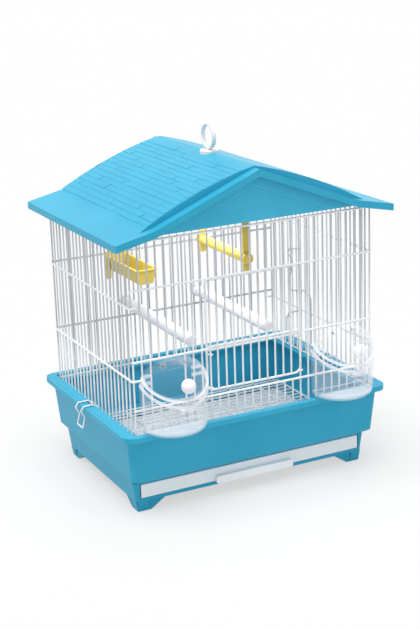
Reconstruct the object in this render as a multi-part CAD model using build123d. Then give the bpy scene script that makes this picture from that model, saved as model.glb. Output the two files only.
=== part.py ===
from build123d import *
import math
import os

# Small bird cage: wire body on a stepped plastic tray with a gable roof.
# X runs along the long front, Y to the back, Z up. The feet stand on Z = 0.

# Wire body
body_length = 300.0
body_depth = 225.0
wire_r = 1.0
bar_r = 1.3
weld_depth = 0.5
long_gaps = 29
short_gaps = 22
front_low_z = 126.5
front_mid_z = 181.5
front_high_z = 261.0
back_low_z = 160.0
back_high_z = 243.0
left_low_z = 160.5
left_high_z = 242.0
left_low_hook = 12.0
left_high_hook = 5.0
right_low_z = 151.0
right_high_z = 260.0
right_hook = 5.0
fit_gap = 0.1
hook_gap = 0.2

# Roof
roof_length = 342.0
roof_depth = 260.0
eave_z = 316.4
kink_x = 124.0
kink_z = 326.5
ridge_z = 376.5
fascia_height = 8.0
roof_wall = 2.5
panel_rise = 6.0
panel_inset = 12.0
panel_end_x = 138.0
panel_ridge_rise = 2.0
gable_wall = 2.0
gable_bottom_z = 317.6
gable_gap = 0.4
seat_rib_width = 3.0
frame_headroom = 4.0

# Base tray
rim_length = 335.0
rim_depth = 249.0
rim_top_z = 99.6
rim_lip = 6.0
rim_corner_r = 13.0
tray_wall = 2.5
tray_top_length = 320.0
tray_top_depth = 232.0
tray_foot_length = 312.0
tray_foot_depth = 222.4
tray_corner_r = 8.0
tray_edge_z = 42.0
tray_step_z = 35.5
floor_wall = 3.5
floor_edge_wall = 3.2
seat_drop = 5.0
seat_width = 8.4
skirt_top_length = 301.0
skirt_bottom_length = 295.0
skirt_top_depth = 200.0
skirt_bottom_depth = 197.0
skirt_corner_r = 5.0
skirt_bottom_z = 12.5
grille_ledge = 7.0
floor_rail = 22.0
foot_top_width = 38.0
foot_tip_width = 19.0
foot_wall = 14.0

# Drawer
drawer_length = 283.0
drawer_top_z = 33.0
drawer_bottom_z = 17.2
drawer_wall = 2.0
drawer_face = 3.0
drawer_back_gap = 3.0
drawer_side_gap = 1.6
drawer_float = 0.2
slot_headroom = 1.2
pull_length = 100.0
pull_reach = 6.0
pull_height = 9.0
pull_drop = 1.6
pull_corner_r = 3.0

# Floor grille
grille_wire_r = 1.0
grille_rows = 20
grille_columns = 8
grille_side_gap = 1.6

# Sliding door
door_gap_count = 11
door_bottom_z = 131.0
door_top_drop = 3.6
door_bar_gap = 3.6
door_frame_r = 1.3
door_corner_r = 7.0
door_plane_gap = 0.3
door_side_out = 2.5
guide_wire_r = 0.8
guide_ring_r = 2.2
guide_low_z = 135.0
guide_high_z = 174.0

# Feeding cups
cup_x = 107.0
cup_slots = (3, 5)
cup_low_r = 37.2
cup_high_r = 39.8
cup_wall = 1.6
cup_edge_r = 8.0
cup_dome_r = 28.0
cup_bottom_z = 100.4
cup_front_rim_z = 136.5
cup_back_rim_z = 158.5
hood_front_rim_z = 141.8
hood_back_rim_z = 165.0
cup_back_wall_z = 127.5
cup_bar_gap = 0.3
cup_strip = 6.0
cup_window = 0.6
cup_seam = 0.8
cup_rim_out = 1.2
cup_rim_height = 2.0
cup_hook_slots = 1.5
hook_width = 4.6
hook_wall = 1.6
hook_drop = 7.0
thumb_tab_r = 9.5
thumb_tab_wall = 3.6
hood_pin_r = 1.6
running_gap = 0.06
hood_axis_inset = 5.2
hood_axis_drop = 6.2
hood_axis_r = 3.4
hood_ear_x = 13.0
knob_r = 8.0
knob_out = 3.0
knob_z = 161.0

# Perches
perch_r = 7.0
perch_length = 180.0
perch_end_r = 4.0
perch_z = 177.5
perch_left_slot = 9.0
perch_right_slot = 18.5
stud_r = 3.9
stud_slit = 2.6
nut_r = 8.0
nut_wall = 5.0
nut_grips = 8
nut_grip_r = 1.2
clamp_gap = 0.05

# Swing
swing_y = -42.0
swing_span = 105.0
swing_pivot_z = 357.0
swing_pivot_r = 2.0
swing_bar_z = 271.0
swing_bar_r = 5.6
swing_neck_r = 3.0
strap_width = 7.0
strap_wall = 3.0
strap_below = 15.0
strap_above = 5.0
cap_r = 6.4
cap_wall = 5.0
cap_gap = 0.3
hanger_span = 80.0
hanger_wall = 3.0
hanger_width = 9.0

# Hanging ring
ring_y = -13.0
ring_outer_r = 15.0
ring_wall = 2.6
ring_band = 5.0
ring_edge_r = 0.8
ring_base_r = 10.5
ring_base_height = 2.5
ring_base_edge_r = 1.4
ring_base_gap = 0.3
ring_stem_r = 2.5
roof_hole_gap = 0.6
retainer_r = 6.0
retainer_wall = 2.5

# Trough feeder
trough_slots = (7.5, 8.5)
trough_top_width = 25.4
trough_bottom_width = 18.0
trough_length = 84.0
trough_top_z = 240.6
trough_bottom_z = 222.5
trough_wall = 1.6
trough_plate_wall = 2.0
trough_plate_out = 2.6
trough_leg_width = 6.0
trough_leg_z = 212.0
trough_rim_out = 1.2
trough_rim_height = 1.8

# Side clips
clip_wire_r = 0.9
clip_gap = 0.3
clip_over_gap = 0.6
clip_notch_out = 2.0
clip_bulge = 4.0
clip_waist = -0.6
clip_tail = 2.6
clip_bulge_z = 96.0
clip_waist_z = 88.0
clip_tail_z = 75.5
clip_bend = 1.3

# Wire holder
holder_wire_r = 0.9
holder_bend_r = 3.0
holder_points = ((38, 232), (64, 226), (70.5, 219.5), (58.5, 214), (66, 178), (62, 172), (27, 180),
                 (14.5, 173), (14.5, 113), (74, 113), (74, 133), (66, 141.5), (39, 151.5))

# Values worked out from the driving dimensions
half_l = body_length / 2
half_d = body_depth / 2
long_pitch = body_length / long_gaps
short_pitch = body_depth / short_gaps
bar_out = wire_r + bar_r - weld_depth
rim_seat_z = rim_top_z - seat_drop
sill_bar_z = rim_seat_z + bar_r
side_shift = weld_depth + hook_gap
side_x = half_l + side_shift
side_bar_x = side_x + bar_out
floor_z = tray_step_z + floor_wall
roof_slope = (ridge_z - kink_z) / kink_x
flare_slope = (kink_z - eave_z) / (roof_length / 2 - kink_x)
eave_under_z = eave_z + flare_slope * (roof_length / 2 - half_l) - roof_wall
top_bar_z = eave_under_z - frame_headroom - bar_r
front_face_y = -(skirt_bottom_depth + skirt_top_depth) / 4
door_y = -half_d + 2 * wire_r + door_plane_gap
door_bar_y = door_y + wire_r + door_frame_r - weld_depth
door_half = long_pitch * door_gap_count / 2 + door_side_out
door_top_z = front_high_z - door_top_drop
cup_back_y = -half_d - wire_r - 2 * bar_r - hook_gap - cup_bar_gap
hood_axis_y = cup_back_y - hood_axis_inset
clip_y = short_pitch - wire_r - clip_wire_r - clip_gap
swing_front_y = swing_y - swing_span / 2
swing_back_y = swing_y + swing_span / 2


def wire_x(index):
    """X of a vertical wire in the front or back panel."""
    return -half_l + index * long_pitch


def roof_z(x):
    """Height of the roof's plain border at a distance from the ridge."""
    if abs(x) < kink_x:
        return ridge_z - roof_slope * abs(x)
    return kink_z - flare_slope * (abs(x) - kink_x)


def upright(x, y, bottom, top, radius=wire_r):
    """One straight vertical wire."""
    return Pos(x, y, bottom) * Cylinder(radius, top - bottom, align=(Align.CENTER, Align.CENTER, Align.MIN))


def rod_x(x0, x1, y, z, radius):
    """A round rod along X."""
    return Pos((x0 + x1) / 2, y, z) * Rot(0, 90, 0) * Cylinder(radius, x1 - x0)


def rod_y(x, y0, y1, z, radius):
    """A round rod along Y."""
    return Pos(x, (y0 + y1) / 2, z) * Rot(90, 0, 0) * Cylinder(radius, y1 - y0)


def block(x0, x1, y0, y1, z0, z1):
    """A plain box between two corners."""
    return Pos((x0 + x1) / 2, (y0 + y1) / 2, (z0 + z1) / 2) * Box(x1 - x0, y1 - y0, z1 - z0)


def round_slab(length, depth, z0, z1, corner):
    """A slab with round vertical corners."""
    face = Pos(0, 0, z0) * RectangleRounded(length, depth, corner)
    return extrude(face, z1 - z0)


def tapered(length0, depth0, z0, length1, depth1, z1, corner):
    """A solid with round corners that changes size with height."""
    low = Pos(0, 0, z0) * RectangleRounded(length0, depth0, corner)
    high = Pos(0, 0, z1) * RectangleRounded(length1, depth1, corner)
    return loft([low, high])


def wire_path(points, bend, radius):
    """A round wire swept along straight runs with rounded bends."""
    line = FilletPolyline(*points, radius=bend)
    start = Plane(origin=line @ 0, z_dir=line % 0)
    return sweep(start * Circle(radius), path=line)


def prism_y(points, y0, y1):
    """A closed XZ outline carried along Y."""
    face = Plane.XZ * make_face(Polyline(*points, close=True))
    return Pos(0, y1, 0) * extrude(face, y1 - y0)


def prism_x(points, x0, x1):
    """A closed YZ outline carried along X."""
    face = Plane.YZ * make_face(Polyline(*points, close=True))
    return Pos(x0, 0, 0) * extrude(face, x1 - x0)


def front_panel():
    """Front wire grid with the door opening and a window behind each cup."""
    y = -half_d
    first_door = (long_gaps - door_gap_count) // 2
    pieces = []
    for index in range(long_gaps + 1):
        x = wire_x(index)
        in_door = first_door < index < first_door + door_gap_count
        near = min(index, long_gaps - index)
        in_window = cup_slots[0] <= near <= cup_slots[1]
        if in_door:
            pieces.append(upright(x, y, sill_bar_z, front_low_z))
            pieces.append(upright(x, y, front_high_z, top_bar_z))
        elif in_window:
            pieces.append(upright(x, y, sill_bar_z, front_low_z))
            pieces.append(upright(x, y, front_mid_z, top_bar_z))
        else:
            pieces.append(upright(x, y, sill_bar_z, top_bar_z))
    bar_y = y - bar_out
    reach = half_l + wire_r
    stop = wire_x(first_door) - guide_ring_r - guide_wire_r - 2 * door_plane_gap
    for z in (sill_bar_z, front_low_z, front_high_z, top_bar_z):
        pieces.append(rod_x(-reach, reach, bar_y, z, bar_r))
    pieces.append(rod_x(-reach, stop, bar_y, front_mid_z, bar_r))
    pieces.append(rod_x(-stop, reach, bar_y, front_mid_z, bar_r))
    return pieces[0].fuse(*pieces[1:])


def back_panel():
    """Back wire grid."""
    y = half_d
    pieces = [upright(wire_x(i), y, sill_bar_z, top_bar_z) for i in range(long_gaps + 1)]
    reach = half_l + wire_r
    for z in (sill_bar_z, back_low_z, back_high_z, top_bar_z):
        pieces.append(rod_x(-reach, reach, y + bar_out, z, bar_r))
    return pieces[0].fuse(*pieces[1:])


def hooked_bar(side, z, front_hook, back_hook):
    """A side bar; an end with a hook length bends round the corner wire."""
    x = side * side_bar_x
    turn_y = half_d + wire_r + bar_r + hook_gap
    plain_y = half_d - wire_r - fit_gap
    points = [(x, -plain_y, z), (x, plain_y, z)]
    if front_hook:
        points[0] = (x, -turn_y, z)
        points.insert(0, (side * (half_l - front_hook), -turn_y, z))
    if back_hook:
        points[-1] = (x, turn_y, z)
        points.append((side * (half_l - back_hook), turn_y, z))
    if len(points) == 2:
        return rod_y(x, -plain_y, plain_y, z, bar_r)
    return wire_path(points, bar_r + hook_gap * 2, bar_r)


def side_panel(side, hooked):
    """Left or right wire grid; some bars hook round the corner wires."""
    x = side * side_x
    pieces = [upright(x, -half_d + i * short_pitch, sill_bar_z, top_bar_z) for i in range(1, short_gaps)]
    reach = half_d - wire_r - fit_gap
    for z in (sill_bar_z, top_bar_z):
        pieces.append(rod_y(side * side_bar_x, -reach, reach, z, bar_r))
    for z, front_hook, back_hook in hooked:
        pieces.append(hooked_bar(side, z, front_hook, back_hook))
    return pieces[0].fuse(*pieces[1:])


def left_panel():
    """Left wire grid."""
    return side_panel(-1, ((left_low_z, left_low_hook, 0), (left_high_z, left_high_hook, 0)))


def right_panel():
    """Right wire grid."""
    return side_panel(1, ((right_low_z, right_hook, right_hook), (right_high_z, 0, right_hook)))


def front_door():
    """Sliding wire door behind the front opening."""
    inner = door_gap_count - 1
    first = (long_gaps - door_gap_count) // 2 + 1
    pieces = []
    for index in range(first, first + inner):
        pieces.append(upright(wire_x(index), door_y, door_bottom_z, door_top_z))
    points = [(-door_half, door_bar_y, door_top_z), (-door_half, door_bar_y, door_bottom_z),
              (door_half, door_bar_y, door_bottom_z), (door_half, door_bar_y, door_top_z)]
    pieces.append(wire_path(points, door_corner_r, door_frame_r))
    for z in (door_top_z, front_mid_z, front_mid_z - door_bar_gap):
        pieces.append(rod_x(-door_half, door_half, door_bar_y, z, door_frame_r))
    for z in (guide_low_z, guide_high_z):
        for side in (-1, 1):
            x = side * long_pitch * door_gap_count / 2
            pieces.append(Pos(x, -half_d, z) * Torus(guide_ring_r, guide_wire_r))
            pieces.append(guide_link(side, x, z))
    return pieces[0].fuse(*pieces[1:])


def guide_link(side, x, z):
    """Short wire from a guide ring to the door's side wire."""
    start = Vector(x, -half_d + guide_ring_r, z)
    end = Vector(side * door_half, door_bar_y, z)
    step = end - start
    plane = Plane(origin=start, z_dir=step)
    return extrude(plane * Circle(guide_wire_r), step.length)


def roof_outline(drop=0.0, inset=0.0, under=0.0):
    """Gable band: the border line above, the same line lowered by under below."""
    edge = roof_length / 2 - inset
    top = [(-edge, roof_z(edge)), (-kink_x, kink_z), (0, ridge_z), (kink_x, kink_z), (edge, roof_z(edge))]
    high = [(x, z - drop) for x, z in top]
    low = [(x, z - under) for x, z in reversed(top)]
    return high + low


def crown_line(drop=0.0):
    """Raised main slopes: an arc over each half of the gable."""
    mid_x = panel_end_x / 2
    mid_z = (roof_z(panel_end_x) + ridge_z + panel_ridge_rise) / 2 + panel_rise
    left = ThreePointArc((-panel_end_x, roof_z(panel_end_x) - drop), (-mid_x, mid_z - drop),
                         (0, ridge_z + panel_ridge_rise - drop))
    right = ThreePointArc((0, ridge_z + panel_ridge_rise - drop), (mid_x, mid_z - drop),
                          (panel_end_x, roof_z(panel_end_x) - drop))
    return left, right


def crown(drop, under, inset):
    """The raised main slopes as one solid between the border and the arcs."""
    left, right = crown_line(drop)
    base = Polyline((panel_end_x, roof_z(panel_end_x) - drop), (panel_end_x, roof_z(panel_end_x) - under),
                    (kink_x, kink_z - under), (0, ridge_z - under), (-kink_x, kink_z - under),
                    (-panel_end_x, roof_z(panel_end_x) - under), (-panel_end_x, roof_z(panel_end_x) - drop))
    face = Plane.XZ * make_face(Curve() + [left, right, base])
    reach = roof_depth / 2 - panel_inset - inset
    return Pos(0, reach, 0) * extrude(face, 2 * reach)


def attic():
    """The space under the roof's walls."""
    reach = roof_depth / 2 - roof_wall
    plain = prism_y(roof_outline(roof_wall, roof_wall, fascia_height + roof_wall), -reach, reach)
    return plain + crown(roof_wall, roof_wall * 2, roof_wall)


def roof_shell():
    """Hollow gable roof with flared eaves, plain borders and raised main slopes."""
    reach = roof_depth / 2
    solid = prism_y(roof_outline(0, 0, fascia_height), -reach, reach)
    solid = solid + crown(0, roof_wall, 0) - attic()
    for side in (-1, 1):
        x = side * side_bar_x
        rib = block(x - seat_rib_width / 2, x + seat_rib_width / 2, -half_d + fit_gap, half_d - fit_gap,
                    top_bar_z + bar_r, roof_z(x) - roof_wall / 2)
        solid = solid + rib
    low = ridge_z - fascia_height * 2
    return solid - upright(0, ring_y, low, ridge_z + fascia_height, ring_stem_r + roof_hole_gap)


def gable(side):
    """Recessed triangular panel under the roof at the front or back."""
    inner = half_d + bar_out + bar_r + gable_gap
    edge = kink_x + (kink_z - roof_wall - gable_bottom_z) / flare_slope
    points = [(-edge, gable_bottom_z), (-kink_x, kink_z - roof_wall), (0, ridge_z - roof_wall),
              (kink_x, kink_z - roof_wall), (edge, gable_bottom_z)]
    if side < 0:
        return prism_y(points, -inner - gable_wall, -inner)
    return prism_y(points, inner, inner + gable_wall)


def base_tray():
    """Stepped tray with a rim, a seat for the wires, a drawer bay and four corner feet."""
    lip_z = rim_top_z - rim_lip
    body = tapered(tray_foot_length, tray_foot_depth, tray_edge_z, tray_top_length, tray_top_depth, lip_z,
                   tray_corner_r)
    step = tapered(skirt_top_length, skirt_top_depth, tray_step_z, tray_foot_length, tray_foot_depth,
                   tray_edge_z, tray_corner_r)
    skirt = tapered(skirt_bottom_length, skirt_bottom_depth, skirt_bottom_z, skirt_top_length,
                    skirt_top_depth, tray_step_z, skirt_corner_r)
    rim = round_slab(rim_length, rim_depth, lip_z, rim_top_z, rim_corner_r)
    tray = body + step + skirt + rim - tray_hollow()
    seat_l = body_length + seat_width
    seat_d = body_depth + seat_width
    tray = tray - round_slab(seat_l, seat_d, rim_seat_z, rim_top_z + tray_wall, tray_wall)
    tray = tray - round_slab(body_length - seat_width, body_depth - seat_width, rim_seat_z - 2 * tray_wall,
                             rim_top_z, tray_wall)
    for side in (-1, 1):
        tray = tray - clip_notch(side)
    return tray - drawer_bay() + corner_feet()


def tray_hollow():
    """Space inside the tray above its floor."""
    wall2 = 2 * tray_wall
    share = floor_wall / (tray_edge_z - tray_step_z)
    low_l = skirt_top_length + (tray_foot_length - skirt_top_length) * share - 2 * floor_edge_wall
    low_d = skirt_top_depth + (tray_foot_depth - skirt_top_depth) * share - 2 * floor_edge_wall
    turn_z = tray_edge_z + tray_wall / 2
    inner_r = tray_corner_r - tray_wall
    low = tapered(low_l, low_d, floor_z, tray_foot_length - wall2, tray_foot_depth - wall2, turn_z, inner_r)
    high = tapered(tray_foot_length - wall2, tray_foot_depth - wall2, turn_z, tray_top_length - wall2,
                   tray_top_depth - wall2, rim_seat_z - tray_wall, inner_r)
    return low + high


def clip_notch(side):
    """Room in the seat for the eyes of a side clip."""
    reach = clip_y + clip_wire_r + clip_over_gap
    eye = bar_r + running_gap + 2 * clip_wire_r + clip_gap
    inner = side * (side_bar_x - eye)
    outer = side * (side_bar_x + eye + clip_notch_out)
    return block(min(inner, outer), max(inner, outer), -reach, reach, sill_bar_z - eye, rim_top_z + clip_gap)


def drawer_bay():
    """Space under the grille for the drawer, open at the front."""
    half_bay = drawer_length / 2 + drawer_side_gap
    bay_back = skirt_bottom_depth / 2 - tray_wall
    low = drawer_bottom_z - drawer_float
    bay = block(-half_bay, half_bay, -tray_top_depth, bay_back, low, drawer_top_z + slot_headroom)
    ledge_l = skirt_bottom_length / 2 - grille_ledge
    ledge_d = skirt_bottom_depth / 2 - grille_ledge
    well = block(-ledge_l, ledge_l, -ledge_d, ledge_d, low, floor_z + tray_wall)
    under = block(-ledge_l + floor_rail, ledge_l - floor_rail, -ledge_d + floor_rail, ledge_d - floor_rail,
                  0, drawer_top_z)
    return bay + well + under


def corner_feet():
    """Four feet whose inner ends slope up to the skirt."""
    half_x = skirt_bottom_length / 2
    half_y = skirt_bottom_depth / 2
    inset = skirt_corner_r / 2
    along_x = [(half_x - inset, 0), (half_x - foot_tip_width, 0), (half_x - foot_top_width, skirt_bottom_z),
               (half_x, skirt_bottom_z)]
    along_y = [(half_y - inset, 0), (half_y - foot_tip_width, 0), (half_y - foot_top_width, skirt_bottom_z),
               (half_y, skirt_bottom_z)]
    foot = prism_y(along_x, half_y - foot_wall, half_y - inset)
    foot = foot + prism_x(along_y, half_x - foot_wall, half_x - inset)
    feet = [foot, foot.mirror(Plane.YZ), foot.mirror(Plane.XZ), foot.mirror(Plane.YZ).mirror(Plane.XZ)]
    return Part() + feet


def drawer():
    """White pull-out tray with a front face and a lipped pull."""
    half_x = drawer_length / 2
    back = skirt_bottom_depth / 2 - tray_wall - drawer_back_gap
    front = front_face_y
    box = block(-half_x, half_x, front, back, drawer_bottom_z, drawer_top_z)
    hollow = block(-half_x + drawer_wall, half_x - drawer_wall, front + drawer_face, back - drawer_wall,
                   drawer_bottom_z + drawer_wall, drawer_top_z + drawer_wall)
    low = drawer_bottom_z - pull_drop
    lip = block(-pull_length / 2, pull_length / 2, front - pull_reach, front, low, low + pull_height)
    lip = fillet(lip.edges().filter_by(Axis.Y), pull_corner_r)
    finger = block(-pull_length / 2 + pull_corner_r, pull_length / 2 - pull_corner_r,
                   front - pull_reach + drawer_wall, front - drawer_wall / 2, low - drawer_wall,
                   low + pull_height / 2)
    return box - hollow + (lip - finger)


def floor_grille():
    """Wire floor above the drawer."""
    share = floor_wall / (tray_edge_z - tray_step_z)
    inset = floor_edge_wall + grille_side_gap + bar_r
    half_x = (skirt_top_length + (tray_foot_length - skirt_top_length) * share) / 2 - inset
    half_y = (skirt_top_depth + (tray_foot_depth - skirt_top_depth) * share) / 2 - inset
    z = floor_z + bar_r
    pieces = []
    for side in (-1, 1):
        pieces.append(rod_x(-half_x, half_x, side * half_y, z, bar_r))
        pieces.append(rod_y(side * half_x, -half_y, half_y, z, bar_r))
        for end in (-1, 1):
            pieces.append(Pos(side * half_x, end * half_y, z) * Sphere(bar_r))
    row_z = z + grille_wire_r - weld_depth
    for row in range(1, grille_rows):
        y = -half_y + 2 * half_y * row / grille_rows
        pieces.append(rod_x(-half_x, half_x, y, row_z, grille_wire_r))
    column_z = row_z + 2 * grille_wire_r - weld_depth
    for column in range(1, grille_columns):
        x = -half_x + 2 * half_x * column / grille_columns
        pieces.append(rod_y(x, -half_y, half_y, column_z, grille_wire_r))
    return pieces[0].fuse(*pieces[1:])


def cup_form(inset):
    """Whole outer form of cup and hood: a half round body under a dome."""
    top = front_mid_z - inset
    bottom = cup_bottom_z + inset
    low = cup_low_r - inset
    high = cup_high_r - inset
    profile = make_face(Polyline((0, bottom), (low, bottom), (high, top), (0, top), close=True))
    corners = profile.vertices().sort_by(Axis.X)[-2:].sort_by(Axis.Y)
    profile = fillet(corners[0], cup_edge_r - inset)
    corner = profile.vertices().sort_by_distance((high, top))[0]
    profile = fillet(corner, cup_dome_r - inset)
    turned = revolve(Plane.XZ * profile, Axis.Z, 360)
    back = cup_high_r * 2
    keep = block(-back, back, -back, -inset, 0, front_high_z)
    return Pos(-cup_x, cup_back_y, 0) * (turned & keep)


def cup_half_space(front_z, back_z):
    """Everything under a plane that rises from the front of a cup to its back."""
    rise = (back_z - front_z) / cup_high_r
    far = cup_high_r * 2
    points = [(cup_back_y - far, back_z - rise * far), (cup_back_y + far, back_z + rise * far),
              (cup_back_y + far, -far), (cup_back_y - far, -far)]
    return prism_x(points, -cup_x - far, -cup_x + far)


def cup_body():
    """Left clear cup with a slanting rim and hooks over the middle front bar."""
    shell = cup_form(0) - cup_form(cup_wall)
    bowl = shell & cup_half_space(cup_front_rim_z, cup_back_rim_z)
    bead = (cup_form(-cup_rim_out) - cup_form(cup_wall)) & cup_half_space(cup_front_rim_z, cup_back_rim_z)
    bead = bead - cup_half_space(cup_front_rim_z - cup_rim_height, cup_back_rim_z - cup_rim_height)
    bead = bead - cup_block(-2, 2, -cup_wall, cup_high_r, 0, front_high_z)
    plate_top = front_mid_z - hood_axis_drop - cup_wall
    plate = cup_form(0) & cup_block(-2, 2, -cup_wall, 0, cup_bottom_z, plate_top)
    window = cup_block(-cup_window, cup_window, -cup_wall * 2, cup_wall, cup_back_wall_z, plate_top - cup_strip)
    cup = bowl + bead + plate - window
    for slot in (cup_slots[0] - cup_hook_slots, cup_slots[1] + cup_hook_slots):
        cup = cup + cup_hook(slot)
    cup = cup + thumb_tab()
    for side in (-1, 1):
        cup = cup + hinge_ear(side)
    return cup


def cup_block(left, right, front, back, z0, z1):
    """A box beside a cup: left and right as shares of its half width."""
    return block(-cup_x + left * cup_high_r, -cup_x + right * cup_high_r, cup_back_y + front, cup_back_y + back,
                 z0, z1)


def hinge_ear(side):
    """Ear on the plate's top edge that takes the hood's pin."""
    z = front_mid_z - hood_axis_drop
    x = -cup_x + side * hood_ear_x
    ear = rod_x(x - cup_wall, x + cup_wall, hood_axis_y, z, hood_axis_r)
    link = block(x - cup_wall, x + cup_wall, hood_axis_y, cup_back_y - cup_wall / 2, z - hood_axis_r,
                 z - cup_wall)
    bore = rod_x(x - cup_strip, x + cup_strip, hood_axis_y, z, hood_pin_r + running_gap)
    return ear + link - bore


def cup_hook(slot):
    """Hook that reaches between two wires and drops behind the bar."""
    x = wire_x(slot)
    left = x - hook_width / 2
    right = x + hook_width / 2
    over = front_mid_z + bar_r + fit_gap
    behind = -half_d + wire_r / 2
    low = front_mid_z - hood_axis_drop - cup_strip
    stem = block(left, right, cup_back_y - cup_wall, cup_back_y, low, over + hook_wall)
    arm = block(left, right, cup_back_y - cup_wall, behind + hook_wall, over, over + hook_wall)
    tip = block(left, right, behind, behind + hook_wall, over + hook_wall - hook_drop, over + hook_wall)
    return stem + arm + tip


def thumb_tab():
    """Half round tab on the front of a cup under the rim."""
    front = cup_back_y - cup_high_r + cup_wall / 2
    z = cup_front_rim_z - cup_rim_height / 2
    disc = rod_y(-cup_x, front - thumb_tab_wall, front, z, thumb_tab_r)
    lower = block(-cup_x - thumb_tab_r, -cup_x + thumb_tab_r, front - thumb_tab_wall, front, z - thumb_tab_r, z)
    return disc & lower


def hood():
    """Left clear hood that lifts on two pins above the slanting rim."""
    low = hood_front_rim_z
    high = hood_back_rim_z
    shell = cup_form(0) - cup_form(cup_wall)
    cover = shell - cup_half_space(low, high)
    bead = (cup_form(-cup_rim_out) - cup_form(cup_wall)) & cup_half_space(low + cup_rim_height, high + cup_rim_height)
    bead = bead - cup_half_space(low, high)
    cover = cover + bead - cup_block(-2, 2, -cup_wall - cup_seam, cup_high_r, 0, front_high_z)
    for slot in (cup_slots[0] - cup_hook_slots, cup_slots[1] + cup_hook_slots):
        x = wire_x(slot)
        room = hook_width / 2 + cup_seam
        cover = cover - block(x - room, x + room, cup_back_y - hood_axis_inset - cup_seam, cup_back_y,
                              front_mid_z - hood_axis_drop, front_high_z)
    z = front_mid_z - hood_axis_drop
    for side in (-1, 1):
        ear_inner = hood_ear_x - cup_wall - cup_seam
        cheek = -cup_x + side * (ear_inner - cup_wall / 2)
        lug = rod_x(cheek - cup_wall / 2, cheek + cup_wall / 2, hood_axis_y, z, hood_axis_r)
        arm = block(cheek - cup_wall / 2, cheek + cup_wall / 2, hood_axis_y - hood_axis_r, hood_axis_y, z,
                    front_mid_z - cup_wall / 2)
        ends = (cheek, -cup_x + side * (hood_ear_x + cup_wall))
        pin = rod_x(min(ends), max(ends), hood_axis_y, z, hood_pin_r)
        cover = cover + lug + arm + pin
    return cover


def knob():
    """Ball knob on the left hood."""
    rise = knob_z - (front_mid_z - cup_dome_r)
    face_y = cup_back_y - cup_high_r + cup_dome_r - math.sqrt(cup_dome_r ** 2 - rise ** 2)
    ball = Pos(-cup_x, face_y - knob_out, knob_z) * Sphere(knob_r)
    return ball - cup_form(0)


def perch(slot):
    """Round perch on the back wires; its slit end passes round or between them."""
    x = wire_x(slot)
    end = half_d - wire_r - clamp_gap
    far = half_d + wire_r + clamp_gap + nut_wall
    rod = rod_y(x, end - perch_length, end, perch_z, perch_r)
    rod = fillet(rod.edges().group_by(Axis.Y)[0], perch_end_r)
    stud = rod_y(x, end - perch_r, far, perch_z, stud_r)
    slit = block(x - stud_slit / 2, x + stud_slit / 2, end, far + nut_wall, perch_z - perch_r, perch_z + perch_r)
    return rod + (stud - slit)


def perch_nut(slot):
    """Grooved nut outside the back wires."""
    x = wire_x(slot)
    start = half_d + wire_r + clamp_gap
    nut = rod_y(x, start, start + nut_wall, perch_z, nut_r)
    for turn in range(nut_grips):
        angle = 2 * math.pi * turn / nut_grips
        nut = nut - rod_y(x + nut_r * math.cos(angle), start, start + nut_wall,
                          perch_z + nut_r * math.sin(angle), nut_grip_r)
    return nut - rod_y(x, start - nut_wall, start + 2 * nut_wall, perch_z, stud_r + running_gap)


def swing_frame():
    """Two flat straps on a round top rod."""
    frame = rod_y(0, swing_front_y, swing_back_y, swing_pivot_z, swing_pivot_r)
    for y in (swing_front_y, swing_back_y):
        strap = block(-strap_width / 2, strap_width / 2, y - strap_wall / 2, y + strap_wall / 2,
                      swing_bar_z - strap_below, swing_pivot_z + strap_above)
        strap = fillet(strap.edges().filter_by(Axis.Y), strap_width * 0.4)
        frame = frame + strap
        frame = frame - rod_y(0, y - strap_wall, y + strap_wall, swing_bar_z, swing_neck_r + running_gap)
    return frame


def swing_bar():
    """Turned bar between the straps with a round cap outside each."""
    inner = strap_wall / 2 + cap_gap
    bar = rod_y(0, swing_front_y + inner, swing_back_y - inner, swing_bar_z, swing_bar_r)
    bar = bar + rod_y(0, swing_front_y - inner - cap_wall, swing_back_y + inner + cap_wall, swing_bar_z, swing_neck_r)
    for side, y in ((-1, swing_front_y), (1, swing_back_y)):
        start = y + side * inner
        cap = rod_y(0, min(start, start + side * cap_wall), max(start, start + side * cap_wall), swing_bar_z, cap_r)
        edge = cap.edges().group_by(Axis.Y)[0 if side < 0 else -1]
        bar = bar + fillet(edge, cap_wall * 0.4)
    return bar


def swing_hanger(side):
    """Small bracket under the ridge that carries the swing's top rod."""
    y = swing_y + side * hanger_span / 2
    half = hanger_width / 2
    points = [(-half, swing_pivot_z), (-half, ceiling_z(half)), (0, ceiling_z(0)), (half, ceiling_z(half)),
              (half, swing_pivot_z)]
    plate = prism_y(points, y - hanger_wall / 2, y + hanger_wall / 2)
    eye = rod_y(0, y - hanger_wall / 2, y + hanger_wall / 2, swing_pivot_z, hanger_width / 2)
    bore = rod_y(0, y - hanger_wall, y + hanger_wall, swing_pivot_z, swing_pivot_r + running_gap)
    return plate + eye - bore


def ring_base():
    """Round foot that sits astride the ridge."""
    top = ridge_z + panel_ridge_rise + ring_base_height
    base = upright(0, ring_y, ridge_z - fascia_height, top, ring_base_r)
    base = fillet(base.edges().group_by(Axis.Z)[-1], ring_base_edge_r)
    base = base - crown(0, fascia_height * 2, 0)
    return base - upright(0, ring_y, ridge_z - fascia_height * 2, top + ring_base_height, ring_stem_r + running_gap)


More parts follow.
